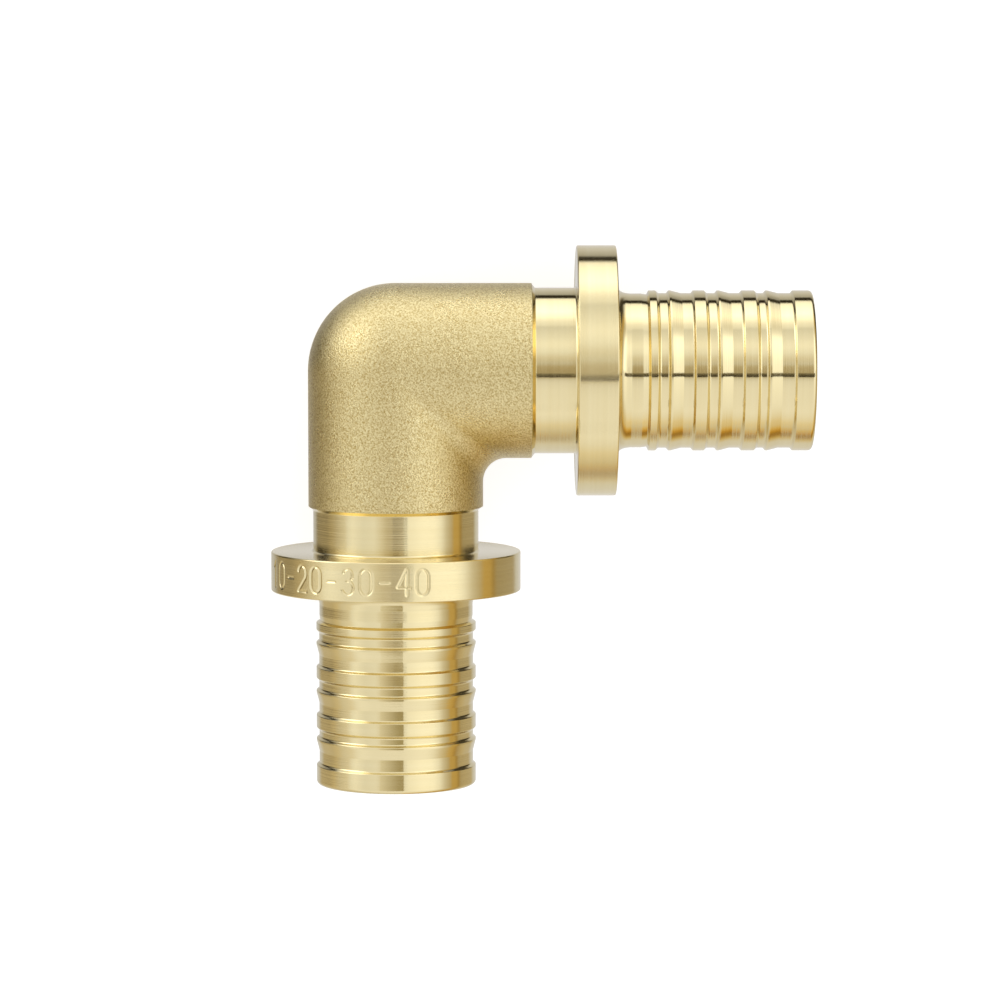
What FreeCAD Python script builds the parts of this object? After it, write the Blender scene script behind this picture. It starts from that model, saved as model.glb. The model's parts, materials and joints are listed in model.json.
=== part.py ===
import FreeCAD, Part
import math
import os
import Sketcher

# Brass elbow for cross-linked polyethylene pipe, 25 x 3.5 mm, two equal arms at 90 degrees.
# The elbow is drawn with the crossing of its two axes at the origin, one arm along +X and the
# other along -Y. The body's placement then lays it down the way it comes to rest.

doc = FreeCAD.newDocument("pex_elbow")

# Sizes in millimetres. Distances along an arm are measured from the crossing of the two axes.
SIZES = [
    ("body_r", "11.2", "radius of the forged body and of its ball-shaped outer corner"),
    ("body_to", "17.35", "where the forged surface stops on each arm"),
    ("shoulder_len", "0.45", "length of the cone from the forged surface down to the neck"),
    ("crotch_fillet", "3.0", "blend between the two arms on the inside of the bend"),
    ("neck_r", "10.6", "turned neck behind the flange"),
    ("neck_fillet", "0.5", "fillet between neck and flange"),
    ("flange_from", "23.1", "face of the flange towards the body"),
    ("flange_to", "28.15", "face of the flange towards the spigot, where the sleeve stops"),
    ("flange_r", "16.0", "flange, as wide as the sleeve that is pushed up to it"),
    ("flange_break", "0.2", "edge break on both rims of the flange"),
    ("spigot_fillet", "1.4", "fillet between the flange and the spigot"),
    ("smooth_r", "9.85", "plain part of the spigot next to the flange"),
    ("root_r", "9.9", "between the ribs"),
    ("crest_r", "10.25", "top of every rib"),
    ("flank", "0.25", "run of a steep flank along the arm"),
    ("ring_one_from", "32.15", "first flat rib"),
    ("ring_one_to", "33.2", "first flat rib, outer end"),
    ("barb_one_at", "34.85", "first barb, crest"),
    ("ring_two_from", "38.0", "second flat rib"),
    ("ring_two_to", "39.4", "second flat rib, outer end"),
    ("barb_two_at", "41.05", "second barb, crest"),
    ("ring_three_from", "44.2", "third flat rib"),
    ("ring_three_to", "45.8", "third flat rib, outer end"),
    ("barb_three_at", "47.25", "third barb, crest"),
    ("barb_land", "0.25", "flat top of a barb"),
    ("barb_run", "1.35", "run of a barb's slope towards the open end"),
    ("end_from", "50.7", "ring at the open end"),
    ("end_to", "53.2", "open end of the spigot"),
    ("end_round", "0.5", "rounding of the open end"),
    ("bore_r", "8.0", "waterway"),
    ("bore_break", "0.4", "chamfer of the waterway's mouth"),
]

sheet = doc.addObject("Spreadsheet::Sheet", "Sizes")
for row, (alias, number, note) in enumerate(SIZES, start=1):
    sheet.set("A%d" % row, note)
    sheet.set("B%d" % row, number)
    sheet.setAlias("B%d" % row, alias)
doc.recompute()

body = doc.addObject("PartDesign::Body", "Elbow")
body.Label = "elbow"
doc.recompute()


def origin_item(role):
    """The plane or axis of the body's own origin that has this role."""
    for item in body.Origin.OriginFeatures:
        if item.Role == role:
            return item
    raise RuntimeError("no origin item " + role)


def new_sketch(name, role):
    """A sketch on one of the body's own origin planes."""
    sketch = body.newObject("Sketcher::SketchObject", name)
    sketch.AttachmentSupport = [(origin_item(role), "")]
    sketch.MapMode = "FlatFace"
    return sketch


def value(expression):
    """The number that an expression of sheet aliases and plain numbers stands for."""
    total = 0.0
    sign = 1.0
    for word in expression.split():
        if word == "+":
            sign = 1.0
        elif word == "-":
            sign = -1.0
        elif word.startswith("Sizes."):
            total += sign * float(sheet.get(word[6:]))
        else:
            total += sign * float(word)
    return total


def bind(sketch, kind, index, point, expression, name):
    """Ties one coordinate of a sketch point to the sheet, measured from the sketch's origin."""
    number = value(expression)
    if abs(number) < 1e-9:
        axis = -2 if kind == "DistanceX" else -1
        sketch.addConstraint(Sketcher.Constraint("PointOnObject", index, point, axis))
        return
    sketch.addConstraint(Sketcher.Constraint(kind, -1, 1, index, point, number))
    sketch.renameConstraint(sketch.ConstraintCount - 1, name)
    sketch.setExpression(".Constraints." + name, expression)


def closed_outline(sketch, corners):
    """A closed outline of straight lines. Each corner is (name, along, outwards) with expressions."""
    points = [FreeCAD.Vector(value(x), value(y), 0) for _, x, y in corners]
    count = len(points)
    for i in range(count):
        sketch.addGeometry(Part.LineSegment(points[i], points[(i + 1) % count]), False)
    for i in range(count):
        sketch.addConstraint(Sketcher.Constraint("Coincident", i, 2, (i + 1) % count, 1))
    for i, (name, x, y) in enumerate(corners):
        bind(sketch, "DistanceX", i, 1, x, name + "_along")
        bind(sketch, "DistanceY", i, 1, y, name + "_out")


def rib(name, start, stop):
    """A flat-topped rib: steep flank, crest and steep flank."""
    return [
        (name + "_foot", start + " - Sizes.flank", "Sizes.root_r"),
        (name + "_top", start, "Sizes.crest_r"),
        (name + "_far_top", stop, "Sizes.crest_r"),
        (name + "_far_foot", stop + " + Sizes.flank", "Sizes.root_r"),
    ]


def barb(name, crest):
    """A barb: steep towards the flange and sloping down towards the open end."""
    return [
        (name + "_foot", crest + " - Sizes.flank", "Sizes.root_r"),
        (name + "_top", crest, "Sizes.crest_r"),
        (name + "_far_top", crest + " + Sizes.barb_land", "Sizes.crest_r"),
        (name + "_far_foot", crest + " + Sizes.barb_land + Sizes.barb_run", "Sizes.root_r"),
    ]


ARM = (
    [
        ("centre", "0", "0"),
        ("body_start", "0", "Sizes.body_r"),
        ("body_stop", "Sizes.body_to", "Sizes.body_r"),
        ("neck_start", "Sizes.body_to + Sizes.shoulder_len", "Sizes.neck_r"),
        ("neck_stop", "Sizes.flange_from", "Sizes.neck_r"),
        ("flange_back", "Sizes.flange_from", "Sizes.flange_r"),
        ("flange_front", "Sizes.flange_to", "Sizes.flange_r"),
        ("spigot_start", "Sizes.flange_to", "Sizes.smooth_r"),
        ("smooth_stop", "Sizes.ring_one_from - Sizes.flank", "Sizes.smooth_r"),
    ]
    + rib("ring_one", "Sizes.ring_one_from", "Sizes.ring_one_to")[1:]
    + barb("barb_one", "Sizes.barb_one_at")
    + rib("ring_two", "Sizes.ring_two_from", "Sizes.ring_two_to")
    + barb("barb_two", "Sizes.barb_two_at")
    + rib("ring_three", "Sizes.ring_three_from", "Sizes.ring_three_to")
    + barb("barb_three", "Sizes.barb_three_at")
    + [
        ("end_foot", "Sizes.end_from - Sizes.flank", "Sizes.root_r"),
        ("end_top", "Sizes.end_from", "Sizes.crest_r"),
        ("end_far_top", "Sizes.end_to", "Sizes.crest_r"),
        ("end_axis", "Sizes.end_to", "0"),
    ]
)

BORE = [
    ("bore_centre", "0", "0"),
    ("bore_wall", "0", "Sizes.bore_r"),
    ("bore_mouth", "Sizes.end_to + 1", "Sizes.bore_r"),
    ("bore_axis", "Sizes.end_to + 1", "0"),
]


def turned(kind, name, outline):
    """One arm's outline turned about its own axis, and the same turned again for the second arm."""
    sketch = new_sketch(name + "_outline", "XY_Plane")
    closed_outline(sketch, outline)
    doc.recompute()
    first = body.newObject("PartDesign::" + kind, name)
    first.Profile = sketch
    first.ReferenceAxis = (sketch, ["H_Axis"])
    first.Angle = 360.0
    body.Tip = first
    doc.recompute()
    both = body.newObject("PartDesign::PolarPattern", name + "_both")
    both.Originals = [first]
    both.Axis = (origin_item("Z_Axis"), [""])
    both.Angle = 90.0
    both.Reversed = True
    both.Occurrences = 2
    body.Tip = both
    doc.recompute()
    return both


def quarter_ball(kind, name, radius):
    """A half disc turned a quarter about the crossing, over the outside of the bend."""
    sketch = new_sketch(name + "_outline", "XZ_Plane")
    r = value(radius)
    sketch.addGeometry(Part.LineSegment(FreeCAD.Vector(0, r, 0), FreeCAD.Vector(0, -r, 0)), False)
    circle = Part.Circle(FreeCAD.Vector(0, 0, 0), FreeCAD.Vector(0, 0, 1), r)
    sketch.addGeometry(Part.ArcOfCircle(circle, math.pi / 2, 3 * math.pi / 2), False)
    sketch.addConstraint(Sketcher.Constraint("Coincident", 0, 1, 1, 1))
    sketch.addConstraint(Sketcher.Constraint("Coincident", 0, 2, 1, 2))
    sketch.addConstraint(Sketcher.Constraint("Coincident", 1, 3, -1, 1))
    sketch.addConstraint(Sketcher.Constraint("PointOnObject", 0, 1, -2))
    sketch.addConstraint(Sketcher.Constraint("Radius", 1, r))
    sketch.renameConstraint(sketch.ConstraintCount - 1, "ball")
    sketch.setExpression(".Constraints.ball", radius)
    doc.recompute()
    ball = body.newObject("PartDesign::" + kind, name)
    ball.Profile = sketch
    ball.ReferenceAxis = (sketch, ["V_Axis"])
    ball.Angle = 90.0
    ball.Reversed = True
    body.Tip = ball
    doc.recompute()
    return ball


def picked(feature, test):
    """The names of the feature's edges that pass a test."""
    names = []
    for number, edge in enumerate(feature.Shape.Edges, start=1):
        if edge.Length > 1e-6 and test(edge):
            names.append("Edge%d" % number)
    if not names:
        raise RuntimeError("no edge of " + feature.Name + " passes")
    return names


def ring_at(along, out):
    """A test for whole circles of one radius at one distance from the crossing, on either arm."""

    def test(edge):
        if not isinstance(edge.Curve, Part.Circle):
            return False
        return abs(edge.Curve.Center.Length - along) < 1e-4 and abs(edge.Curve.Radius - out) < 1e-4

    return test


def dressed(kind, name, size, test):
    """A fillet or chamfer on the edges of the body so far that pass a test."""
    base = body.Tip
    feature = body.newObject("PartDesign::" + kind, name)
    feature.Base = (base, picked(base, test))
    prop = "Radius" if kind == "Fillet" else "Size"
    setattr(feature, prop, value(size))
    feature.setExpression(prop, size)
    body.Tip = feature
    doc.recompute()
    return feature


turned("Revolution", "arm", ARM)
quarter_ball("Revolution", "outer_corner", "Sizes.body_r")

# The two arms meet on the inside of the bend in half an ellipse, which the forging rounds.
dressed("Fillet", "crotch_blend", "Sizes.crotch_fillet", lambda edge: isinstance(edge.Curve, Part.Ellipse))
dressed("Fillet", "neck_root", "Sizes.neck_fillet", ring_at(value("Sizes.flange_from"), value("Sizes.neck_r")))
dressed("Fillet", "spigot_root", "Sizes.spigot_fillet", ring_at(value("Sizes.flange_to"), value("Sizes.smooth_r")))
dressed("Fillet", "open_end", "Sizes.end_round", ring_at(value("Sizes.end_to"), value("Sizes.crest_r")))
dressed(
    "Chamfer",
    "flange_rims",
    "Sizes.flange_break",
    lambda edge: ring_at(value("Sizes.flange_from"), value("Sizes.flange_r"))(edge)
    or ring_at(value("Sizes.flange_to"), value("Sizes.flange_r"))(edge),
)

turned("Groove", "waterway", BORE)
quarter_ball("Groove", "inner_corner", "Sizes.bore_r")
dressed("Chamfer", "mouths", "Sizes.bore_break", ring_at(value("Sizes.end_to"), value("Sizes.bore_r")))

# How it comes to rest: on the two flanges and the ball of the corner. In that attitude each arm
# rises outwards by the angle whose sine is "rise", where a flange's inner rim and the ball touch
# the same level.
ball_r = value("Sizes.body_r")
rim_r = value("Sizes.flange_r")
rim_at = value("Sizes.flange_from + Sizes.flange_break")
reach = rim_at**2 + rim_r**2
rise = (math.sqrt((ball_r * rim_at) ** 2 + reach * (rim_r**2 - ball_r**2)) - ball_r * rim_at) / reach
tilt = math.asin(math.sqrt(2.0) * rise)

# First the bend's diagonal is turned onto X, then the corner end is let down about Y.
swing = FreeCAD.Rotation(FreeCAD.Vector(0, 0, 1), 45.0)
lower = FreeCAD.Rotation(FreeCAD.Vector(0, 1, 0), -math.degrees(tilt))
attitude = lower.multiply(swing)
body.Placement = FreeCAD.Placement(FreeCAD.Vector(0, 0, 0), attitude)
doc.recompute()
box = body.Shape.optimalBoundingBox(False, False)
shift = FreeCAD.Vector(-(box.XMin + box.XMax) / 2, -(box.YMin + box.YMax) / 2, -box.ZMin)
body.Placement = FreeCAD.Placement(shift, attitude)
doc.recompute()

for item in doc.Objects:
    if "Invalid" in item.State or "Error" in item.State:
        raise RuntimeError("failed: " + item.Name)
if body.Shape.isNull() or not body.Shape.isValid() or len(body.Shape.Solids) != 1:
    raise RuntimeError("the elbow is not one valid solid")
elbow = body.Shape.Solids[0]

os.makedirs("parts", exist_ok=True)
elbow.exportStep("parts/" + body.Label + ".step")

box = elbow.optimalBoundingBox(False, False)
middle = elbow.CenterOfMass
print("tilt of the elbow's plane, degrees: %.4f" % math.degrees(tilt))
print("crossing of the axes: %.4f %.4f %.4f" % (shift.x, shift.y, shift.z))
print("box: %.3f..%.3f  %.3f..%.3f  %.3f..%.3f" % (box.XMin, box.XMax, box.YMin, box.YMax, box.ZMin, box.ZMax))
print("centre of mass: %.3f %.3f %.3f" % (middle.x, middle.y, middle.z))
print("volume: %.1f mm3" % elbow.Volume)
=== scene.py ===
import json
import math

import bpy
import numpy as np
from bpy.props import FloatProperty, FloatVectorProperty, IntProperty, PointerProperty, StringProperty
from mathutils import Matrix


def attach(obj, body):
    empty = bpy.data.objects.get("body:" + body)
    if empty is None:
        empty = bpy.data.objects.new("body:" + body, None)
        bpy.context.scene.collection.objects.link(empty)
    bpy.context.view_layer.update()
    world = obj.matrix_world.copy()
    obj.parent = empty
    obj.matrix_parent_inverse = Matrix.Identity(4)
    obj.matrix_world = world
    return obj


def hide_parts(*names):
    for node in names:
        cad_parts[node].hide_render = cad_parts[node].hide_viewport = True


bl_info = {
    "name": "Brass Pipe Elbow",
    "version": (1, 0, 0),
    "blender": (4, 5, 0),
    "location": "3D View > Sidebar > Elbow",
    "description": "Forged and turned brass elbow for cross-linked polyethylene pipe, in a photo studio",
    "category": "Add Mesh",
}

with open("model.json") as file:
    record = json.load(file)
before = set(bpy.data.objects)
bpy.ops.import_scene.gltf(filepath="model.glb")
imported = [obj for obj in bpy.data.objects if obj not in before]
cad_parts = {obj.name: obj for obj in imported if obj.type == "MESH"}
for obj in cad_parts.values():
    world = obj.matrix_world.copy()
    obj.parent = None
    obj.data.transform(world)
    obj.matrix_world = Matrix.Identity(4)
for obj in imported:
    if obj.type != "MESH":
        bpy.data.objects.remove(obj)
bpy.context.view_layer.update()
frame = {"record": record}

MM = 0.001
TAU = 2.0 * math.pi

# Largest turn between two points of a rounded corner.
ARC_STEP = math.radians(15.0)


def linear(hex_colour):
    """The linear RGB of an sRGB hex colour."""
    parts = np.array([int(hex_colour[i:i + 2], 16) for i in (1, 3, 5)]) / 255.0
    return tuple(np.where(parts <= 0.04045, parts / 12.92, ((parts + 0.055) / 1.055) ** 2.4).tolist())


def elbow_axes(record):
    """The crossing of the two waterways, and the elbow's own axes as the columns of a matrix.

    The first column runs along arm a, the second against arm b, the third is square to both. The arms
    stand square to each other, so the crossing lies behind the middle of waterway a by the distance
    between the two middles, measured along arm a.
    """
    mounts = {m["name"]: m for m in record["mounts"]}
    middle_a = np.array(mounts["waterway_a"]["pos_m"])
    middle_b = np.array(mounts["waterway_b"]["pos_m"])
    arm_a = np.array(mounts["waterway_a"]["axis"])
    arm_b = np.array(mounts["waterway_b"]["axis"])
    crossing = middle_a - arm_a * np.dot(middle_a - middle_b, arm_a)
    return crossing, np.column_stack([arm_a, -arm_b, np.cross(arm_a, -arm_b)])


CROSSING, AXES = elbow_axes(frame["record"])

# Along, sideways and upwards of each arm, in the elbow's own axes. Sideways is the outside of the bend.
ARM_AXES = {
    "a": np.array([[1.0, 0.0, 0.0], [0.0, 1.0, 0.0], [0.0, 0.0, 1.0]]),
    "b": np.array([[0.0, -1.0, 0.0], [-1.0, 0.0, 0.0], [0.0, 0.0, 1.0]]),
}


def length(label, millimetres, text):
    """A size that a user can change. It is given in millimetres and kept in metres."""
    return FloatProperty(
        name=label, description=text, default=millimetres * MM, min=0.0, precision=5, unit="LENGTH"
    )


def number(label, value, text, low=0.0, high=10.0):
    """A plain number that a user can change."""
    return FloatProperty(name=label, description=text, default=value, min=low, max=high, precision=3)


def colour(label, hex_colour, text):
    """A colour that a user can change."""
    return FloatVectorProperty(
        name=label, description=text, default=linear(hex_colour), size=3, min=0.0, max=1.0, subtype="COLOR"
    )


class ElbowSizes(bpy.types.PropertyGroup):
    """Sizes of the metal. Distances along an arm start at the crossing of the two axes."""

    body_r: length("Body radius", 11.2, "Forged body and its ball-shaped outer corner")
    body_to: length("Body end", 17.35, "Where the forged surface stops on each arm")
    crotch_r: length("Crotch blend", 3.0, "Rounding between the two arms on the inside of the bend")
    shoulder: length("Shoulder", 0.45, "Cone from the forged surface down to the neck")
    neck_r: length("Neck radius", 10.6, "Turned neck behind the flange")
    flange_from: length("Flange back", 23.1, "Face of the flange towards the body")
    flange_to: length("Flange front", 28.15, "Face of the flange towards the spigot")
    flange_r: length("Flange radius", 16.0, "Rim of the flange")
    smooth_r: length("Smooth radius", 9.85, "Plain part of the spigot next to the flange")
    root_r: length("Root radius", 9.9, "Spigot between its ribs")
    crest_r: length("Crest radius", 10.25, "Top of every rib")
    end_to: length("Open end", 53.2, "Open end of the spigot")
    bore_r: length("Waterway radius", 8.0, "Bore through both arms")
    columns: IntProperty(name="Columns", description="Points around an arm", default=192, min=24, max=512)


class MarkSizes(bpy.types.PropertyGroup):
    """The row of numbers pressed into the rim of arm b's flange."""

    text: StringProperty(name="Numbers", description="Digits and dashes", default="10-20-30-40")
    height: length("Height", 3.25, "Height of a digit")
    pitch: length("Pitch", 2.38, "From one digit to the next, round the rim")
    width: length("Width", 1.55, "Width of a digit")
    stroke: length("Stroke", 0.42, "Width of a pressed line")
    depth: length("Depth", 0.12, "Depth of a pressed line")
    base: length("Foot line", 27.2, "Distance of the digits' feet from the crossing of the axes")
    start: FloatProperty(
        name="Start", description="Where the first digit starts, round the rim from its top",
        default=math.radians(75.0), subtype="ANGLE",
    )


class FinishSettings(bpy.types.PropertyGroup):
    """Colours and scales of the two brass finishes."""

    turned: colour("Turned brass", "#F0E2B4", "Bright brass as the lathe leaves it")
    blasted: colour("Blasted brass", "#F1E3B0", "Forging skin after shot blasting")
    # The pits' darker colour is painted shade in the hollows, and also the grain's own tone.
    blasted_pit_shade: colour("Blasted brass, pits", "#B59B5C", "Bottom of the pits that the shot leaves")
    feed: length("Turning feed", 0.16, "Distance between two lathe lines")
    grain: length("Blast grain", 0.20, "Distance between two shot marks")


class StudioSettings(bpy.types.PropertyGroup):
    """Camera and light."""

    lens: number("Lens", 151.8, "Focal length in millimetres for a frame 36 mm wide", 10.0, 400.0)
    world: number("Surroundings", 1.0, "Brightness of the surroundings, where 1 is the plain level")
    white: colour("White light", "#FFFFFF", "Light of the softboxes")
    pale: colour("Pale light", "#FFFEFF", "Light of the paper behind and below the elbow")
    warm: colour("Warm shade", "#FFF8EA", "Shade between the softboxes")
    brown: colour("Brown shade", "#FFEDC6", "Shade where the softboxes end")
    amber: colour("Amber shade", "#FFDA89", "Reflected light at the lower right")
    deep: colour("Deep amber shade", "#FFC14A", "Darkest reflected light at the lower right")


def rounded(corners):
    """Points, normals and run of a closed turned outline with rounded corners.

    Each corner is (along, out, radius, steps): steps is how many parts the side after it is cut into.
    A corner's arc begins and ends where its circle touches the two sides, which is radius times the
    tangent of half the turn from the corner. The metal lies to the right of the way round, so a normal
    is the direction of travel turned a quarter to the left.
    """
    place = np.array([c[:2] for c in corners], float)
    ahead = np.roll(place, -1, axis=0) - place
    ahead /= np.linalg.norm(ahead, axis=1)[:, None]
    points = []
    normals = []
    for i, (_, _, radius, _) in enumerate(corners):
        before = ahead[i - 1]
        after = ahead[i]
        turn = math.atan2(before[0] * after[1] - before[1] * after[0], before @ after)
        side = math.copysign(1.0, turn)
        start = place[i] - before * radius * math.tan(abs(turn) / 2)
        centre = start + side * radius * np.array([-before[1], before[0]])
        count = max(2, int(math.ceil(abs(turn) / ARC_STEP)) + 1)
        angle = math.atan2(before[1], before[0]) + turn * np.linspace(0.0, 1.0, count)
        normal = np.column_stack([-np.sin(angle), np.cos(angle)])
        points.append(centre - side * radius * normal)
        normals.append(normal)
    run_points = []
    run_normals = []
    for i, (_, _, _, steps) in enumerate(corners):
        run_points.append(points[i])
        run_normals.append(normals[i])
        if steps > 1:
            share = (np.arange(1, steps) / steps)[:, None]
            stop = points[(i + 1) % len(corners)][0]
            run_points.append(points[i][-1] * (1 - share) + stop * share)
            run_normals.append(np.repeat(normals[i][-1:], steps - 1, axis=0))
    flat = np.concatenate(run_points)
    run = np.concatenate([[0.0], np.cumsum(np.linalg.norm(np.diff(flat, axis=0), axis=1))])
    return flat, np.concatenate(run_normals), run


# Ribs of a spigot, in millimetres from the crossing: the first flat rib from and to, the first barb at its
# crest, then flat ribs from and to, each with the crest of the barb after it, and the ring at the open end.
FIRST_RIB = (32.3, 33.2)
FIRST_BARB = 34.85
RIBS_AND_BARBS = ((38.0, 39.4, 41.05), (44.2, 45.8, 47.25))
END_RING = 50.7


def arm_outline(s, rim_steps):
    """The corners of one arm's outline: outside from the body to the open end, then back through the bore.

    The plain part of the spigot tapers down from the flange to its middle, and down again to the groove
    before the first rib.
    """
    # Radii of the corners.
    seam = 0.03 * MM
    neck_inner = 0.15 * MM
    neck_outer = 0.3 * MM
    rim_edge = 0.2 * MM
    cove = 1.4 * MM
    waist = 1.0 * MM
    groove_edge = 0.1 * MM
    foot = 0.3 * MM
    edge = 0.12 * MM
    mouth = 0.5 * MM
    # Lengths along the arm.
    chamfer = 0.4 * MM
    rise = 0.28 * MM
    fall = 0.35 * MM
    land = 0.25 * MM
    slope = 1.35 * MM
    taper = 0.14
    smooth_from = 29.93 * MM
    smooth_to = 31.33 * MM
    first_rib, first_rib_to = FIRST_RIB[0] * MM, FIRST_RIB[1] * MM
    groove_width = 0.25 * MM
    groove = first_rib - groove_width
    ring = END_RING * MM

    def flat_rib(start, stop):
        return [
            (start - rise, s.root_r, foot, 1),
            (start, s.crest_r, edge, 1),
            (stop, s.crest_r, edge, 1),
            (stop + fall, s.root_r, foot, 1),
        ]

    def barb(crest):
        return [
            (crest - rise, s.root_r, foot, 1),
            (crest, s.crest_r, edge, 1),
            (crest + land, s.crest_r, edge, 1),
            (crest + land + slope, s.root_r, foot, 1),
        ]

    ribs = flat_rib(first_rib, first_rib_to)[1:] + barb(FIRST_BARB * MM)
    for start, stop, crest in RIBS_AND_BARBS:
        ribs += flat_rib(start * MM, stop * MM) + barb(crest * MM)
    return (
        [
            (s.body_to, s.body_r, seam, 1),
            (s.body_to + s.shoulder, s.neck_r, neck_inner, 1),
            (s.flange_from, s.neck_r, neck_outer, 1),
            (s.flange_from, s.flange_r, rim_edge, rim_steps),
            (s.flange_to, s.flange_r, rim_edge, 1),
            (s.flange_to, s.smooth_r + taper * (smooth_from - s.flange_to), cove, 1),
            (smooth_from, s.smooth_r, waist, 1),
            (smooth_to, s.smooth_r, waist, 1),
            (groove, s.smooth_r - taper * (groove - smooth_to), groove_edge, 1),
        ]
        + ribs
        + [
            (ring - rise, s.root_r, foot, 1),
            (ring, s.crest_r, edge, 1),
            (s.end_to, s.crest_r, mouth, 1),
            (s.end_to, s.bore_r + chamfer, edge, 1),
            (s.end_to - chamfer, s.bore_r, edge, 1),
            (s.body_to, s.bore_r, seam, 1),
        ]
    )


def closed_rings(name, points, normals, run, angle, inside_out):
    """A closed piece from a loop of rings. Axis 0 of the arrays goes from ring to ring, axis 1 round a ring.

    Each face joins two neighbouring points of a ring to the same two of the next ring, and the last ring
    joins the first. The lathe map keeps the run along the outline and the turn round the arm.
    """
    rows, cols = points.shape[:2]
    index = np.arange(rows * cols).reshape(rows, cols)
    down = np.roll(index, -1, axis=0)
    corners = [index, down, np.roll(down, -1, axis=1), np.roll(index, -1, axis=1)]
    run_next = np.roll(run, -1)
    turn = angle / TAU
    turn_next = np.roll(turn, -1) + (np.arange(cols) == cols - 1)
    u = [run, run_next, run_next, run]
    v = [turn, turn, turn_next, turn_next]
    if inside_out:
        corners, u, v = corners[::-1], u[::-1], v[::-1]
    faces = np.stack(corners, axis=-1).reshape(-1, 4)
    mesh = bpy.data.meshes.new(name)
    mesh.from_pydata((CROSSING + points.reshape(-1, 3) @ AXES.T).tolist(), [], faces.tolist())
    mesh.polygons.foreach_set("use_smooth", np.ones(len(faces), bool))
    uv = np.empty((rows, cols, 4, 2))
    for corner in range(4):
        uv[:, :, corner, 0] = u[corner][:, None]
        uv[:, :, corner, 1] = v[corner][None, :]
    mesh.uv_layers.new(name="lathe").data.foreach_set("uv", uv.astype(np.float32).ravel())
    lathe = np.empty((rows, cols, 3), np.float32)
    lathe[:, :, 0] = run[:, None] / MM
    lathe[:, :, 1] = np.cos(angle)[None, :]
    lathe[:, :, 2] = np.sin(angle)[None, :]
    mesh.attributes.new("lathe_place", "FLOAT_VECTOR", "POINT").data.foreach_set("vector", lathe.ravel())
    mesh.update()
    mesh.normals_split_custom_set_from_vertices((normals.reshape(-1, 3) @ AXES.T).tolist())
    piece = bpy.data.objects.new(name, mesh)
    bpy.context.scene.collection.objects.link(piece)
    return piece


def bend_skin(radius, blend, stop, angle, station):
    """Points and normals of two round arms that meet in a bend, as a grid of stations by angles.

    Each angle from the top gives one line along the bend: straight on arm b, an arc, and straight on arm
    a, and the stations divide its whole length evenly. On the outside the arc is a quarter circle about
    the crossing, so all of them together are a ball. On the inside a ball of the blend's radius rolls
    along both arms: its centre stays radius plus blend from both axes, and the arc is the shorter way on
    it between the two points that it touches. Where that arc is too narrow to divide by its sine, its
    points are spread evenly on the straight line between its ends.
    """
    least_arc = 1e-12
    least_sine = 1e-9
    narrow = 1e-4
    sine = np.sin(angle)[None, :]
    cosine = np.cos(angle)[None, :]
    size = np.abs(sine)
    inner = sine < 0.0
    rolled = radius + blend
    begin = np.where(inner, rolled * size, 0.0)
    spread = np.where(inner, np.arccos(np.clip(cosine**2, -1.0, 1.0)), TAU / 4)
    arc = np.where(inner, blend, radius * size) * spread
    place = station[:, None] * ((stop - begin) + arc / 2)
    on_arm = begin + np.abs(place) - arc / 2
    share = np.clip(place / np.maximum(arc, least_arc) + 0.5, 0.0, 1.0)
    zero = np.zeros_like(place)
    along_a = np.stack([on_arm, zero + radius * sine, zero + radius * cosine], axis=-1)
    along_b = np.stack([zero - radius * sine, -on_arm, zero + radius * cosine], axis=-1)
    normal_a = np.stack([zero, zero + sine, zero + cosine], axis=-1)
    normal_b = np.stack([zero - sine, zero, zero + cosine], axis=-1)
    turn = share * TAU / 4
    ball = np.stack([-size * np.cos(turn), size * np.sin(turn), zero + cosine], axis=-1)
    safe = np.maximum(np.sin(spread), least_sine)
    to_a = np.where(spread > narrow, np.sin(share * spread) / safe, share)
    to_b = np.where(spread > narrow, np.sin((1 - share) * spread) / safe, 1 - share)
    centre = np.stack([zero + rolled * size, zero - rolled * size, zero + rolled * cosine], axis=-1)
    way = np.stack([-to_b * size, to_a * size, -(to_a + to_b) * cosine], axis=-1)
    way /= np.linalg.norm(way, axis=-1, keepdims=True)
    on_arc = (np.abs(place) < arc / 2)[:, :, None]
    inside = np.broadcast_to(inner[:, :, None], on_arc.shape)
    to_side_a = (place >= 0.0)[:, :, None]
    points = np.where(to_side_a, along_a, along_b)
    normals = np.where(to_side_a, normal_a, normal_b)
    points = np.where(on_arc, np.where(inside, centre + blend * way, radius * ball), points)
    normals = np.where(on_arc, np.where(inside, -way, ball), normals)
    return points, normals


def glyph_strokes():
    """Each digit as polylines in a box one wide and one high, with straight runs and parts of ellipses."""
    arc_points = 13

    def arc(cx, cy, rx, ry, start, stop):
        t = np.radians(np.linspace(start, stop, arc_points))
        return np.column_stack([cx + rx * np.cos(t), cy + ry * np.sin(t)])

    def line(*points):
        return np.array(points, float)

    top = arc(0.5, 0.7, 0.5, 0.3, 0, 180)
    bottom = arc(0.5, 0.3, 0.5, 0.3, 180, 360)
    return {
        "0": [np.concatenate([top, bottom, line((1.0, 0.7))])],
        "1": [line((0.2, 0.78), (0.55, 1.0), (0.55, 0.0))],
        "2": [np.concatenate([arc(0.5, 0.7, 0.47, 0.3, 165, -35), line((0.0, 0.0), (1.0, 0.0))])],
        "3": [
            np.concatenate([arc(0.48, 0.76, 0.42, 0.24, 160, -80), line((0.4, 0.52))]),
            np.concatenate([line((0.4, 0.52)), arc(0.47, 0.27, 0.5, 0.27, 80, -160)]),
        ],
        "4": [line((0.75, 0.0), (0.75, 1.0), (0.0, 0.3), (1.0, 0.3))],
        "-": [line((0.15, 0.48), (0.85, 0.48))],
    }


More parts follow.
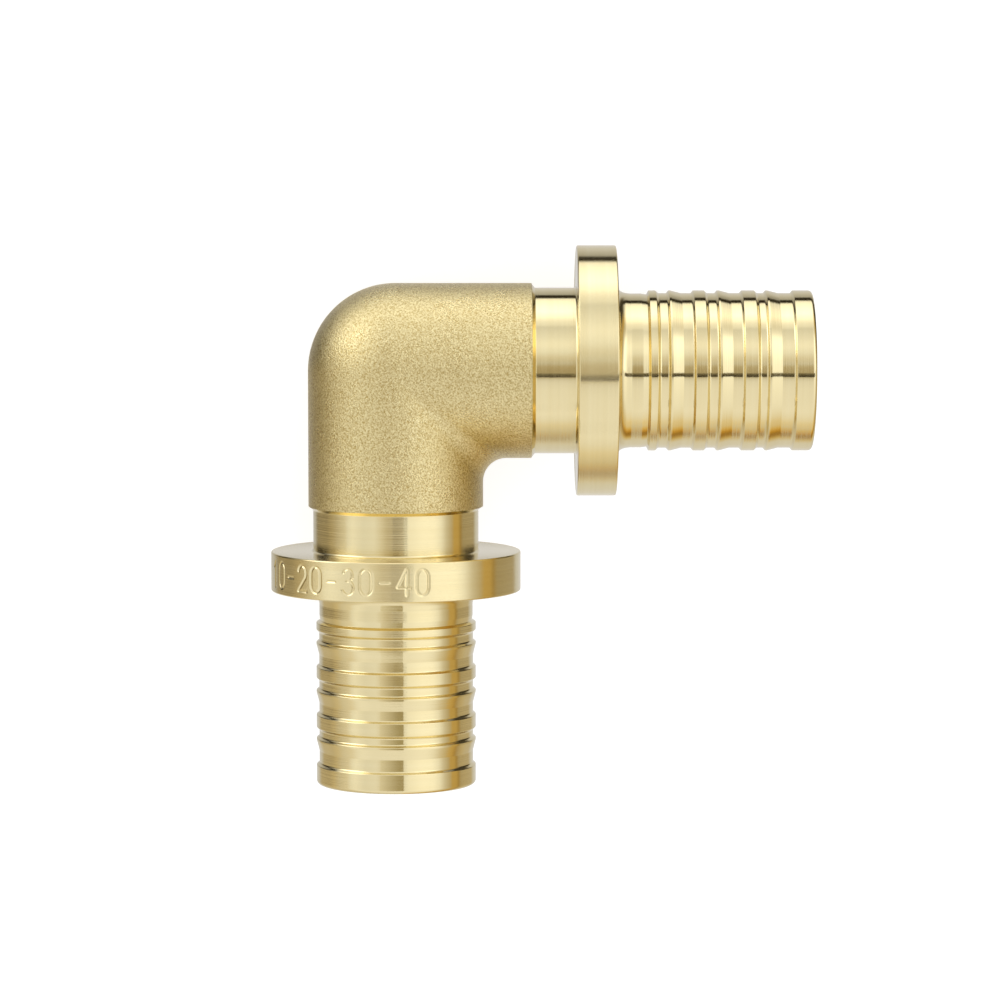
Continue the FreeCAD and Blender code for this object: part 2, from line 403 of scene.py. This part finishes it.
def mark_depth(mark, flange_r, along, angle):
    """How deep the numbers are pressed in at each place of the rim.

    The depth falls off from the middle of a stroke to its edge as a smooth step of the distance to the
    nearest polyline, measured on the unrolled rim. Every place starts out far from all strokes, and a part
    of a stroke that has no length counts as a point.
    """
    far = 1.0
    least = 1e-18
    across = ((mark.start - angle) * flange_r)[None, :]
    up = (mark.base - along)[:, None]
    nearest = np.full(np.broadcast(across, up).shape, far)
    shapes = glyph_strokes()
    for place, letter in enumerate(mark.text):
        for stroke in shapes[letter]:
            spots = stroke * np.array([mark.width, mark.height]) + np.array([place * mark.pitch, 0.0])
            for first, last in zip(spots[:-1], spots[1:]):
                way = last - first
                size = max(way @ way, least)
                share = np.clip(((across - first[0]) * way[0] + (up - first[1]) * way[1]) / size, 0.0, 1.0)
                gap = np.hypot(across - first[0] - share * way[0], up - first[1] - share * way[1])
                nearest = np.minimum(nearest, gap)
    share = np.clip(1.0 - nearest / (mark.stroke / 2), 0.0, 1.0)
    return mark.depth * share * share * (3.0 - 2.0 * share)


# Where the rim with the numbers has fine columns, how many these are, how many coarse ones close the ring,
# and how many steps the rim has across.
MARK_FROM = math.radians(-24.0)
MARK_TO = math.radians(88.0)
FINE_COLUMNS = 300
COARSE_COLUMNS = 128
RIM_STEPS = 48


def turned_arm(name, arm, sizes, mark):
    """One machined arm: its outline turned about its axis, with the numbers pressed in where asked.

    A point of the outline at angle t from the top stands at its distance along the arm, its radius times
    the sine of t to the side and its radius times the cosine of t up.
    """
    if mark:
        fine = np.linspace(MARK_FROM, MARK_TO, FINE_COLUMNS)
        coarse = np.linspace(fine[-1], fine[0] + TAU, COARSE_COLUMNS + 2)[1:-1]
        angle = np.concatenate([fine, coarse])
    else:
        angle = np.arange(sizes.columns) * TAU / sizes.columns
    flat, outward, run = rounded(arm_outline(sizes, RIM_STEPS if mark else 1))
    along = np.repeat(flat[:, :1], len(angle), axis=1)
    out = np.repeat(flat[:, 1:], len(angle), axis=1)
    n_along = np.repeat(outward[:, :1], len(angle), axis=1)
    n_out = np.repeat(outward[:, 1:], len(angle), axis=1)
    n_side = np.zeros_like(n_out)
    if mark:
        # The rim's flat rows reach as far out as the flange and face straight out, but for rounding errors.
        slack = 1e-7
        straight_out = 0.999
        rim = (flat[:, 1] > sizes.flange_r - slack) & (outward[:, 1] > straight_out)
        depth = mark_depth(mark, sizes.flange_r, flat[rim, 0], angle)
        out[rim] -= depth
        n_along[rim] = np.gradient(depth, flat[rim, 0], axis=0)
        n_side[rim] = np.gradient(depth, angle, axis=1) / sizes.flange_r
        scale = np.sqrt(n_along[rim] ** 2 + n_side[rim] ** 2 + 1.0)
        n_along[rim] /= scale
        n_side[rim] /= scale
        n_out[rim] = 1.0 / scale
    sine = np.sin(angle)[None, :]
    cosine = np.cos(angle)[None, :]
    grid = np.stack([along, out * sine, out * cosine], axis=-1) @ ARM_AXES[arm]
    facing = np.stack([n_along, n_out * sine + n_side * cosine, n_out * cosine - n_side * sine], axis=-1)
    piece = closed_rings(name, grid, facing @ ARM_AXES[arm], run, angle, arm == "b")
    on_rim = np.clip((flat[:, 1] - sizes.flange_r) / MM + 1.0, 0.0, 1.0)
    rim_share = np.repeat(on_rim, len(angle)).astype(np.float32)
    piece.data.attributes.new("rim", "FLOAT", "POINT").data.foreach_set("value", rim_share)
    return piece


def add_node(tree, kind, settings=None, inputs=None, links=None):
    """Adds a node, sets its settings and input values, and links its inputs to other nodes' outputs."""
    node = tree.nodes.new(kind)
    for key, value in (settings or {}).items():
        setattr(node, key, value)
    for key, value in (inputs or {}).items():
        node.inputs[key].default_value = value
    for key, (source, output) in (links or {}).items():
        tree.links.new(source.outputs[output], node.inputs[key])
    return node


def new_tree(block):
    """The emptied node tree of a material or a world."""
    block.use_nodes = True
    block.node_tree.nodes.clear()
    return block.node_tree


def set_ramp(node, stops):
    """Gives a Color Ramp its (place, brightness or colour) stops."""
    ramp = node.color_ramp
    while len(ramp.elements) < len(stops):
        ramp.elements.new(0.5)
    for element, (place, shade) in zip(ramp.elements, stops):
        element.position = place
        element.color = (shade, shade, shade, 1.0) if isinstance(shade, float) else (*shade, 1.0)


# Part of a noise texture's range that most of its values lie in.
NOISE_LOW = 0.3
NOISE_HIGH = 0.7


def turned_brass(finish):
    """Brass turned on a lathe: bright, with fine lines round the arm.

    The lines blur a reflection along the arm and leave it sharp round the arm, so the light shows as
    clean bands. The feed is coarser here than a lathe's 0.05 mm, which would not show. Wide rings change the
    tone and the roughness a little, and the flange's rim is rougher than the rest.
    """
    # The noises are scaled per millimetre along the arm, and then per radius across it, so that the lines are
    # one feed wide and the rings about 1.1 mm.
    line_scale = (MM / finish.feed, 0.55, 0.55)
    ring_scale = (0.9, 0.12, 0.12)
    dimmer = np.array([0.97, 0.95, 0.90])
    smoothest = 0.09
    roughest = 0.12
    rim_roughness = 0.18
    line_depth = 0.012 * MM
    material = bpy.data.materials.new("Turned brass")
    tree = new_tree(material)
    place = add_node(
        tree, "ShaderNodeAttribute", {"attribute_name": "lathe_place", "attribute_type": "GEOMETRY"}
    )
    lines_at = add_node(
        tree, "ShaderNodeMapping", inputs={"Scale": line_scale}, links={"Vector": (place, "Vector")}
    )
    lines = add_node(
        tree, "ShaderNodeTexNoise", inputs={"Scale": 1.0, "Detail": 3.0, "Roughness": 0.6},
        links={"Vector": (lines_at, "Vector")},
    )
    rings_at = add_node(
        tree, "ShaderNodeMapping", inputs={"Scale": ring_scale}, links={"Vector": (place, "Vector")}
    )
    rings = add_node(
        tree, "ShaderNodeTexNoise", inputs={"Scale": 1.0, "Detail": 2.0},
        links={"Vector": (rings_at, "Vector")},
    )
    tone = add_node(tree, "ShaderNodeValToRGB", links={"Fac": (rings, "Fac")})
    base = np.array(finish.turned)
    set_ramp(tone, [(NOISE_LOW, tuple(base * dimmer)), (NOISE_HIGH, tuple(base))])
    rough = add_node(
        tree, "ShaderNodeMapRange",
        inputs={"From Min": NOISE_LOW, "From Max": NOISE_HIGH, "To Min": smoothest, "To Max": roughest},
        links={"Value": (rings, "Fac")},
    )
    rim = add_node(tree, "ShaderNodeAttribute", {"attribute_name": "rim", "attribute_type": "GEOMETRY"})
    rough_here = add_node(
        tree, "ShaderNodeMapRange", inputs={"To Max": rim_roughness},
        links={"Value": (rim, "Fac"), "To Min": (rough, "Result")},
    )
    bump = add_node(
        tree, "ShaderNodeBump", inputs={"Strength": 1.0, "Distance": line_depth},
        links={"Height": (lines, "Fac")},
    )
    tangent = add_node(tree, "ShaderNodeTangent", {"direction_type": "UV_MAP", "uv_map": "lathe"})
    shader = add_node(
        tree, "ShaderNodeBsdfPrincipled", inputs={"Metallic": 1.0, "Anisotropic": 1.0},
        links={
            "Base Color": (tone, "Color"),
            "Roughness": (rough_here, "Result"),
            "Normal": (bump, "Normal"),
            "Tangent": (tangent, "Tangent"),
        },
    )
    add_node(tree, "ShaderNodeOutputMaterial", links={"Surface": (shader, "BSDF")})
    return material


def blasted_brass(finish):
    """Forged brass after shot blasting: matt, with fine close pits that glint and shade.

    The pits' darker colour where the bump is lowest is painted shade in the hollows, and also the grain's own
    tone.
    Clouds about 5 mm wide change the roughness a little.
    """
    clouds_per_m = 190.0
    pit_bottom = 0.32
    pit_edge = 0.62
    smoothest = 0.25
    roughest = 0.33
    pit_depth = 0.09 * MM
    material = bpy.data.materials.new("Shot-blasted forged brass")
    tree = new_tree(material)
    place = add_node(tree, "ShaderNodeTexCoord")
    pits = add_node(
        tree, "ShaderNodeTexNoise", inputs={"Scale": 1.0 / finish.grain, "Detail": 2.5, "Roughness": 0.6},
        links={"Vector": (place, "Object")},
    )
    clouds = add_node(
        tree, "ShaderNodeTexNoise", inputs={"Scale": clouds_per_m, "Detail": 2.0},
        links={"Vector": (place, "Object")},
    )
    # Darker colour where the bump is lowest: painted shade in the pits, and the grain's own tone.
    tone = add_node(tree, "ShaderNodeValToRGB", links={"Fac": (pits, "Fac")})
    set_ramp(tone, [(pit_bottom, tuple(finish.blasted_pit_shade)), (pit_edge, tuple(finish.blasted))])
    rough = add_node(
        tree, "ShaderNodeMapRange",
        inputs={"From Min": NOISE_LOW, "From Max": NOISE_HIGH, "To Min": smoothest, "To Max": roughest},
        links={"Value": (clouds, "Fac")},
    )
    bump = add_node(
        tree, "ShaderNodeBump", inputs={"Strength": 1.0, "Distance": pit_depth},
        links={"Height": (pits, "Fac")},
    )
    shader = add_node(
        tree, "ShaderNodeBsdfPrincipled", inputs={"Metallic": 1.0},
        links={"Base Color": (tone, "Color"), "Roughness": (rough, "Result"), "Normal": (bump, "Normal")},
    )
    add_node(tree, "ShaderNodeOutputMaterial", links={"Surface": (shader, "BSDF")})
    return material


def painted_paper():
    """White paper sweep: the camera sees it white, and it keeps the elbow's shadow.

    Its colour alone would come out grey, so for the camera it glows as well.
    """
    paper_glow = 0.72
    paper_colour = "#BDBDBD"
    material = bpy.data.materials.new("White paper")
    tree = new_tree(material)
    path = add_node(tree, "ShaderNodeLightPath")
    seen = add_node(
        tree, "ShaderNodeMath", {"operation": "ADD"},
        links={0: (path, "Is Camera Ray"), 1: (path, "Is Transmission Ray")},
    )
    strength = add_node(
        tree, "ShaderNodeMath", {"operation": "MULTIPLY"}, inputs={1: paper_glow},
        links={0: (seen, "Value")},
    )
    glow = add_node(tree, "ShaderNodeEmission", links={"Strength": (strength, "Value")})
    paper = add_node(tree, "ShaderNodeBsdfDiffuse", inputs={"Color": (*linear(paper_colour), 1.0)})
    both = add_node(tree, "ShaderNodeAddShader", links={0: (glow, "Emission"), 1: (paper, "BSDF")})
    add_node(tree, "ShaderNodeOutputMaterial", links={"Surface": (both, "Shader")})
    return material


def board_with_painted_glow(name, shades):
    """A board that glows with painted uneven light and shade, met only by mirror rays: (place, colour) stops
    along the height of its own map.
    """
    material = bpy.data.materials.new(name)
    tree = new_tree(material)
    place = add_node(tree, "ShaderNodeUVMap", {"uv_map": "board"})
    parts = add_node(tree, "ShaderNodeSeparateXYZ", links={"Vector": (place, "UV")})
    height = add_node(tree, "ShaderNodeValToRGB", links={"Fac": (parts, "Y")})
    set_ramp(height, [(at, linear(hex_colour)) for at, hex_colour in shades])
    # The glow is painted light and shade of the board, which the brass mirrors as a painted reflection.
    glow = add_node(tree, "ShaderNodeEmission", links={"Color": (height, "Color")})
    add_node(tree, "ShaderNodeOutputMaterial", links={"Surface": (glow, "Emission")})
    return material


def own_direction(right, up, near):
    """A direction in the row's frame from its parts along the picture's right, its top and the viewer."""
    return AXES @ np.array([right, up, near])


# What the elbow sees on each side: angle from the way to the viewer in degrees, light level, and shade.
# The dim middle is where the viewer stands, the softboxes follow, and beyond them comes the pale paper. It
# stands in for the floor too, which the mirror rays pass through. Spigot b mirrors the lower part of the
# room, with a left and a right of its own. The barbs' slopes on arm a mirror the high right, a softbox.
SURROUNDINGS = {
    "up": [
        (0, 0.32, "brown"), (5, 0.40, "brown"), (9, 0.46, "brown"), (13, 0.56, "warm"), (21, 0.75, "warm"),
        (29, 0.93, "white"), (38, 1.04, "white"), (44, 1.02, "white"), (50, 0.94, "white"),
        (66, 0.79, "white"), (69, 0.95, "white"), (76, 1.10, "white"), (85, 1.50, "white"),
        (93, 1.75, "white"), (103, 1.62, "white"), (121.5, 1.18, "white"), (124, 0.03, "brown"),
        (132, 0.03, "brown"), (134, 0.45, "pale"), (151, 0.64, "pale"), (180, 0.72, "pale"),
    ],
    "down": [
        (0, 0.38, "brown"), (6.5, 0.50, "brown"), (9.5, 0.74, "pale"), (14, 0.83, "pale"), (24, 0.90, "pale"),
        (60, 0.96, "pale"), (68, 0.90, "pale"), (77, 0.84, "warm"), (84, 0.76, "warm"), (92, 0.66, "warm"),
        (100, 0.61, "warm"), (107, 0.63, "warm"), (121, 0.73, "pale"), (180, 0.76, "pale"),
    ],
    "corner": [
        (0, 0.38, "brown"), (6.5, 0.50, "brown"), (9.5, 0.74, "pale"), (14, 0.83, "pale"), (24, 0.90, "pale"),
        (60, 0.94, "pale"), (74, 0.92, "warm"), (82, 0.88, "brown"), (90, 0.80, "brown"), (95, 0.77, "amber"),
        (101, 0.60, "deep"), (105.5, 0.36, "deep"), (110, 0.36, "deep"), (116, 0.60, "amber"),
        (121, 0.71, "brown"), (128, 0.74, "pale"), (180, 0.72, "pale"),
    ],
    "left": [
        (0, 0.38, "brown"), (10, 0.49, "brown"), (20, 0.74, "warm"), (30, 0.88, "white"), (46, 0.84, "white"),
        (62, 0.94, "white"), (68, 0.86, "white"), (76, 0.66, "warm"), (92, 0.41, "brown"),
        (110, 0.24, "brown"), (140, 0.24, "brown"), (152, 0.48, "pale"), (180, 0.64, "pale"),
    ],
    "right": [
        (0, 0.38, "brown"), (11.5, 0.55, "brown"), (14.5, 0.92, "white"), (20, 1.05, "white"),
        (40, 1.15, "white"), (56, 1.12, "white"), (67, 0.95, "white"), (76, 0.68, "warm"),
        (86, 0.52, "brown"), (90, 0.56, "amber"), (98, 0.55, "amber"), (103, 0.36, "amber"),
        (109, 0.36, "brown"), (139, 0.37, "brown"), (148, 0.60, "pale"), (180, 0.72, "pale"),
    ],
    "left, low": [
        (0, 0.38, "brown"), (10, 0.49, "brown"), (20, 0.74, "warm"), (30, 0.88, "white"), (46, 0.84, "white"),
        (62, 0.97, "white"), (68, 0.92, "white"), (76, 0.81, "warm"), (90, 0.72, "warm"),
        (101, 0.67, "brown"), (112, 0.55, "brown"), (137, 0.53, "brown"), (148, 0.60, "pale"),
        (180, 0.66, "pale"),
    ],
    "right, low": [
        (0, 0.38, "brown"), (11.5, 0.55, "brown"), (14.5, 0.92, "white"), (20, 1.05, "white"),
        (40, 1.15, "white"), (56, 1.12, "white"), (67, 0.95, "white"), (76, 0.68, "warm"),
        (86, 0.52, "brown"), (90, 0.55, "amber"), (98, 0.53, "amber"), (103, 0.42, "amber"),
        (109, 0.50, "brown"), (116, 0.54, "brown"), (139, 0.54, "brown"), (148, 0.62, "pale"),
        (180, 0.72, "pale"),
    ],
    "right, high": [
        (0, 0.38, "brown"), (11.5, 0.55, "brown"), (14.5, 0.88, "white"), (20, 0.98, "white"),
        (28, 1.06, "white"), (36, 1.26, "white"), (46, 1.50, "white"), (60, 1.70, "white"),
        (68, 1.15, "white"), (76, 0.68, "warm"), (86, 0.52, "brown"), (90, 0.56, "amber"),
        (98, 0.55, "amber"), (103, 0.36, "amber"), (109, 0.36, "brown"), (139, 0.37, "brown"),
        (148, 0.60, "pale"), (180, 0.72, "pale"),
    ],
}

# Light level that a ramp's full white stands for.
BRIGHTEST = 2.3

# Where one side passes into another, as parts of a direction that is one long: from straight down to the
# corner by its part to the right, and from the sides to their low and high versions by its part up.
TO_CORNER = (0.056, 0.074)
TO_LOW = (-0.107, -0.125)
TO_HIGH = (0.0, 0.06)

# At the upper right the sides get the whole share where their plain share reaches this.
FULL_SHARE = 0.45

# Dark cards behind the elbow, above its plane, at the left and the right: angle from the way to the viewer
# and share of the light that is left.
CARD = [(0, 1.0), (104, 1.0), (114, 0.15), (137, 0.15), (146, 1.0), (180, 1.0)]

# Way to the small soft lamp at the upper left, which lights the bend's shoulder, and the cosines of the
# angles from its middle where it ends and where it is full.
LAMP = (-0.80, 0.58, 0.17)
TO_LAMP = (math.cos(math.radians(26.0)), math.cos(math.radians(8.0)))


def side_colours(tree, turn, studio):
    """The colour of each side of the surroundings at a turn from the way to the viewer."""
    sides = {}
    for name, stops in SURROUNDINGS.items():
        ramp = add_node(tree, "ShaderNodeValToRGB", links={"Fac": turn})
        shades = [(at, level / BRIGHTEST * np.array(getattr(studio, shade))) for at, level, shade in stops]
        set_ramp(ramp, [(at / 180.0, tuple(shade)) for at, shade in shades])
        sides[name] = (ramp, "Color")
    return sides


def surroundings(tree, place, studio):
    """The node with the colour of the light surroundings in the direction of a mirror ray.

    The angle from the way to the viewer picks a place in the ramp of each side. Left and right have low
    versions for directions below the elbow's plane, and the right has a high one above it. What lies
    sideways is blended with what lies up or down by a share: the square of the direction's part to the
    right, over the squares of its parts to the right and up together. At the upper right that share rises
    sooner. Above the plane cards dim the sides, and a lamp comes on top of it all.
    """
    right, up, near, to_lamp = [
        add_node(
            tree, "ShaderNodeVectorMath", {"operation": "DOT_PRODUCT"},
            inputs={1: tuple(own_direction(*way))}, links={0: place},
        )
        for way in (*np.eye(3), LAMP)
    ]
    angle = add_node(tree, "ShaderNodeMath", {"operation": "ARCCOSINE"}, links={0: (near, "Value")})
    turn = add_node(
        tree, "ShaderNodeMapRange", inputs={"From Max": math.pi}, links={"Value": (angle, "Value")}
    )
    is_up, is_right = [
        add_node(
            tree, "ShaderNodeMath", {"operation": "GREATER_THAN"}, inputs={1: 0.0},
            links={0: (part, "Value")},
        )
        for part in (up, right)
    ]
    to_corner, to_low, to_high, is_lamp = [
        add_node(
            tree, "ShaderNodeMapRange", {"interpolation_type": "SMOOTHSTEP"},
            inputs={"From Min": low, "From Max": high}, links={"Value": (part, "Value")},
        )
        for part, (low, high) in ((right, TO_CORNER), (up, TO_LOW), (up, TO_HIGH), (to_lamp, TO_LAMP))
    ]

    colours = side_colours(tree, (turn, "Result"), studio)
    for name, first, second, share in (
        ("down", "down", "corner", (to_corner, "Result")),
        ("upright", "down", "up", (is_up, "Value")),
        ("left", "left", "left, low", (to_low, "Result")),
        ("right", "right", "right, low", (to_low, "Result")),
        ("right", "right", "right, high", (to_high, "Result")),
        ("sideways", "left", "right", (is_right, "Value")),
    ):
        both = add_node(
            tree, "ShaderNodeMix", {"data_type": "RGBA"},
            links={"Factor": share, "A": colours[first], "B": colours[second]},
        )
        colours[name] = (both, "Result")
    card = add_node(tree, "ShaderNodeValToRGB", links={"Fac": (turn, "Result")})
    set_ramp(card, [(at / 180.0, light) for at, light in CARD])
    shaded = add_node(
        tree, "ShaderNodeMix", {"data_type": "RGBA", "blend_type": "MULTIPLY"},
        links={"Factor": (to_high, "Result"), "A": colours["sideways"], "B": (card, "Color")},
    )

    right_square = add_node(
        tree, "ShaderNodeMath", {"operation": "MULTIPLY"}, links={0: (right, "Value"), 1: (right, "Value")}
    )
    both_squares = add_node(
        tree, "ShaderNodeMath", {"operation": "MULTIPLY_ADD"},
        links={0: (up, "Value"), 1: (up, "Value"), 2: (right_square, "Value")},
    )
    plain_share = add_node(
        tree, "ShaderNodeMath", {"operation": "DIVIDE"},
        links={0: (right_square, "Value"), 1: (both_squares, "Value")},
    )
    wide_share = add_node(
        tree, "ShaderNodeMapRange", {"interpolation_type": "SMOOTHSTEP"}, inputs={"From Max": FULL_SHARE},
        links={"Value": (plain_share, "Value")},
    )
    more = add_node(
        tree, "ShaderNodeMath", {"operation": "SUBTRACT"},
        links={0: (wide_share, "Result"), 1: (plain_share, "Value")},
    )
    upper_right = add_node(
        tree, "ShaderNodeMath", {"operation": "MULTIPLY"},
        links={0: (is_right, "Value"), 1: (to_high, "Result")},
    )
    share = add_node(
        tree, "ShaderNodeMath", {"operation": "MULTIPLY_ADD"},
        links={0: (upper_right, "Value"), 1: (more, "Value"), 2: (plain_share, "Value")},
    )
    every = add_node(
        tree, "ShaderNodeMix", {"data_type": "RGBA"},
        links={"Factor": (share, "Value"), "A": colours["upright"], "B": (shaded, "Result")},
    )
    return add_node(
        tree, "ShaderNodeMix", {"data_type": "RGBA"}, inputs={"B": (1.0, 1.0, 1.0, 1.0)},
        links={"Factor": (is_lamp, "Result"), "A": (every, "Result")},
    )


def make_world(studio):
    """Light surroundings that the brass mirrors, and plain white for the camera and for the paper's light."""
    world = bpy.data.worlds.new("Studio")
    bpy.context.scene.world = world
    tree = new_tree(world)
    place = add_node(tree, "ShaderNodeTexCoord")
    lit = surroundings(tree, (place, "Generated"), studio)
    mirrored = add_node(
        tree, "ShaderNodeBackground", inputs={"Strength": BRIGHTEST * studio.world},
        links={"Color": (lit, "Result")},
    )
    plain = add_node(tree, "ShaderNodeBackground", inputs={"Color": (1.0, 1.0, 1.0, 1.0)})
    path = add_node(tree, "ShaderNodeLightPath")
    unseen = add_node(
        tree, "ShaderNodeMath", {"operation": "MAXIMUM"},
        links={0: (path, "Is Camera Ray"), 1: (path, "Is Diffuse Ray")},
    )
    glow = add_node(
        tree, "ShaderNodeMixShader",
        links={"Fac": (unseen, "Value"), 1: (mirrored, "Background"), 2: (plain, "Background")},
    )
    add_node(tree, "ShaderNodeOutputWorld", links={"Surface": (glow, "Shader")})
    world.cycles.sampling_method = "NONE"


# Boards that only the brass mirrors, parallel to the elbow's plane, whose glow paints reflections of light
# and shade: material, then left, right, low and high edge and distance from the plane, all in millimetres
# from the crossing, the turn of the map on the board in quarters, and its shades. The black board and the
# strip that carries it on for the barbs paint the dark line along arm a, and their glow gets darker downwards
# as painted shade. The grey one paints the dim middle of spigot b, and its glow gets darker to the right as
# painted shade.
# Glow of the boards from the bottom to the top of their map: painted shade that the brass mirrors.
BLACK = [(0.0, "#3A3529"), (0.35, "#4B4537"), (0.7, "#69624F"), (1.0, "#867D67")]
GREY = [(0.0, "#E4DFD3"), (0.5, "#C4BCA8"), (0.8, "#AEA385"), (1.0, "#AA9F80")]
BOARDS = {
    "black_board": ("Black board with painted glow", (-20, 105, -38, -4, 350), 0, BLACK),
    "black_strip": ("Black strip with painted glow", (43, 92, -5.9, -0.4, 60), 0, BLACK),
    "grey_board": ("Grey board with painted glow", (-19, 9.2, -66, -43, 50), -1, GREY),
}


def add_board(scene, name, stuff, place, quarters, shades):
    """One board: a flat sheet in front of the elbow that only mirror rays meet."""
    left, right, low, high, near = np.array(place) * MM
    corners = np.array([[left, low, near], [right, low, near], [right, high, near], [left, high, near]])
    sheet = bpy.data.meshes.new(name)
    sheet.from_pydata((CROSSING + corners @ AXES.T).tolist(), [], [(0, 1, 2, 3)])
    spots = np.roll(np.array([[0.0, 0.0], [1.0, 0.0], [1.0, 1.0], [0.0, 1.0]], np.float32), quarters, axis=0)
    sheet.uv_layers.new(name="board").data.foreach_set("uv", spots.ravel())
    board = bpy.data.objects.new(name, sheet)
    # The board's glowing material paints light and shade that only the brass mirrors.
    board.data.materials.append(board_with_painted_glow(stuff, shades))
    board.visible_camera = False
    board.visible_diffuse = False
    board.visible_shadow = False
    scene.collection.objects.link(board)
    return board


# Place of the camera and of the middle of its picture, in millimetres from the crossing: along arm a,
# against arm b, and up from their plane.
EYE = (9.8, 31.0, 538.8)
TARGET = (13.36, -16.63, 0.0)


def add_camera(scene, studio):
    """The camera stands over the elbow and looks nearly square at its plane, as the photograph does."""
    eye = np.array(EYE) * MM
    target = np.array(TARGET) * MM
    back = (eye - target) / np.linalg.norm(eye - target)
    right = np.cross([0.0, 1.0, 0.0], back)
    right /= np.linalg.norm(right)
    turn = AXES @ np.column_stack([right, np.cross(back, right), back])
    data = bpy.data.cameras.new("Camera")
    data.lens = studio.lens
    data.sensor_width = 36.0
    data.clip_start = 0.02
    data.clip_end = 20.0
    camera = bpy.data.objects.new("Camera", data)
    camera.matrix_world = Matrix.Translation(CROSSING + AXES @ eye) @ Matrix(turn.tolist()).to_4x4()
    scene.collection.objects.link(camera)
    scene.camera = camera
    scene.view_settings.view_transform = "Standard"


class ELBOW_OT_body(bpy.types.Operator):
    """Makes the forged bend with its shot-blasted skin"""

    bl_idname = "elbow.body"
    bl_label = "Forged body"

    def execute(self, context):
        stations = 97
        bore_blend = 0.3 * MM
        # The blasted finish has no lathe lines, so the run only has to grow from ring to ring.
        run_step = 0.4
        sizes = context.scene.elbow_sizes
        angle = np.arange(sizes.columns) * TAU / sizes.columns
        station = np.linspace(-1.0, 1.0, stations)
        skin, skin_normals = bend_skin(sizes.body_r, sizes.crotch_r, sizes.body_to, angle, station)
        bore, bore_normals = bend_skin(sizes.bore_r, bore_blend, sizes.body_to, angle, station)
        points = np.concatenate([skin, bore[::-1]])
        normals = np.concatenate([skin_normals, -bore_normals[::-1]])
        run = np.arange(len(points)) * run_step * MM
        body = closed_rings("forged_body", points, normals, run, angle, False)
        body.data.materials.append(blasted_brass(context.scene.elbow_finish))
        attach(body, "root")
        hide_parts("elbow")
        return {"FINISHED"}


class ELBOW_OT_arms(bpy.types.Operator):
    """Makes the two machined arms with neck, flange and ribbed spigot"""

    bl_idname = "elbow.arms"
    bl_label = "Turned arms"

    def execute(self, context):
        scene = context.scene
        material = turned_brass(scene.elbow_finish)
        for name, arm, mark in (("turned_arm_a", "a", None), ("turned_arm_b", "b", scene.elbow_mark)):
            piece = turned_arm(name, arm, scene.elbow_sizes, mark)
            piece.data.materials.append(material)
            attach(piece, "root")
            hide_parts("elbow")
        return {"FINISHED"}


class ELBOW_OT_stage(bpy.types.Operator):
    """Makes the floor, the surroundings and the camera"""

    bl_idname = "elbow.stage"
    bl_label = "Stage"

    def execute(self, context):
        scene = context.scene
        studio = scene.elbow_studio
        # Half the width of the floor, in metres.
        half = 3.0
        sheet = bpy.data.meshes.new("floor")
        corners = [(-half, -half, 0.0), (half, -half, 0.0), (half, half, 0.0), (-half, half, 0.0)]
        sheet.from_pydata(corners, [], [(0, 1, 2, 3)])
        floor = bpy.data.objects.new("floor", sheet)
        floor.data.materials.append(painted_paper())
        floor.visible_glossy = False
        scene.collection.objects.link(floor)
        for name, (stuff, place, quarters, shades) in BOARDS.items():
            add_board(scene, name, stuff, place, quarters, shades)
        make_world(studio)
        add_camera(scene, studio)
        return {"FINISHED"}


class ELBOW_PT_panel(bpy.types.Panel):
    """Lists the elbow's sizes, finishes and steps"""

    bl_label = "Brass elbow"
    bl_idname = "ELBOW_PT_panel"
    bl_space_type = "VIEW_3D"
    bl_region_type = "UI"
    bl_category = "Elbow"

    def draw(self, context):
        scene = context.scene
        for title, group in (
            ("Sizes", scene.elbow_sizes),
            ("Numbers", scene.elbow_mark),
            ("Finish", scene.elbow_finish),
            ("Studio", scene.elbow_studio),
        ):
            box = self.layout.box()
            box.label(text=title)
            for key in group.bl_rna.properties.keys():
                if key not in {"rna_type", "name"}:
                    box.prop(group, key)
        for step in STEPS:
            self.layout.operator(step.bl_idname)


GROUPS = {
    "elbow_sizes": ElbowSizes,
    "elbow_mark": MarkSizes,
    "elbow_finish": FinishSettings,
    "elbow_studio": StudioSettings,
}
STEPS = (ELBOW_OT_body, ELBOW_OT_arms, ELBOW_OT_stage)


def register():
    """Registers the settings, the steps and the panel."""
    for key, group in GROUPS.items():
        bpy.utils.register_class(group)
        setattr(bpy.types.Scene, key, PointerProperty(type=group))
    for step in (*STEPS, ELBOW_PT_panel):
        bpy.utils.register_class(step)


def unregister():
    """Takes back what register did."""
    for step in (ELBOW_PT_panel, *reversed(STEPS)):
        bpy.utils.unregister_class(step)
    for key, group in GROUPS.items():
        delattr(bpy.types.Scene, key)
        bpy.utils.unregister_class(group)


def main():
    """Makes every piece and the stage."""
    register()
    bpy.ops.elbow.body()
    bpy.ops.elbow.arms()
    bpy.ops.elbow.stage()


if __name__ == "__main__":
    main()
